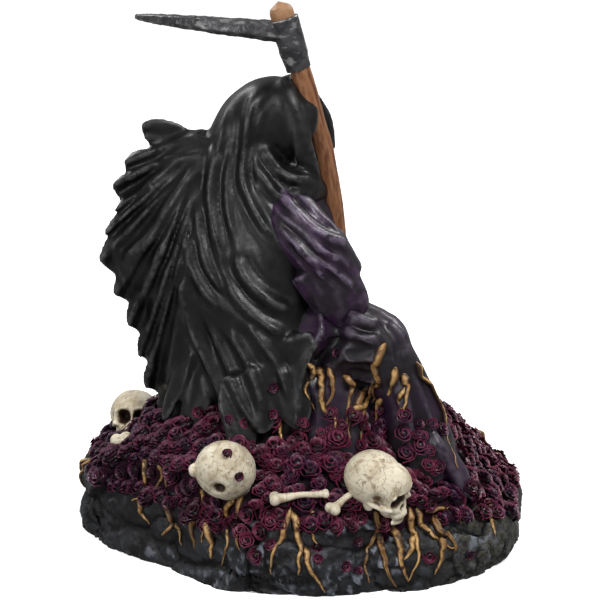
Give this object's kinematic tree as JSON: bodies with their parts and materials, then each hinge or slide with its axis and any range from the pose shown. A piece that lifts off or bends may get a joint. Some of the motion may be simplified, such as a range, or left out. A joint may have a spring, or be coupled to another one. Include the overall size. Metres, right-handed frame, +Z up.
{
  "type": "grim reaper figurine",
  "caption": "Cast resin figurine of a kneeling hooded reaper in a torn cloak, holding a scythe on a rock base with roses, skulls and roots.",
  "frame": {"origin": "middle of the flat underside of the rock base", "axes": "+Z up, the figure faces -Y, the cloak streams towards +Y, -X is the figure's right side"},
  "size_m": [0.1589, 0.1936, 0.2279],
  "materials": {
    "black_cloak": "cast polyresin painted satin black, ridges dry-brushed grey",
    "purple_robe": "cast polyresin painted deep purple with lavender-grey highlights",
    "rock": "cast polyresin painted dark slate, edges dry-brushed blue-white",
    "rose": "cast polyresin painted burgundy with magenta petal edges",
    "bone": "cast polyresin painted ivory with a brown wash",
    "root": "cast polyresin painted ochre with dark hollows",
    "scythe_wood": "cast polyresin painted as red-brown wood grain",
    "scythe_iron": "cast polyresin painted gunmetal with silver scuffs"
  },
  "bodies": {
    "root": {"reaper_on_rock_base": "black_cloak", "scythe": "scythe_wood"}
  },
  "joints": []
}
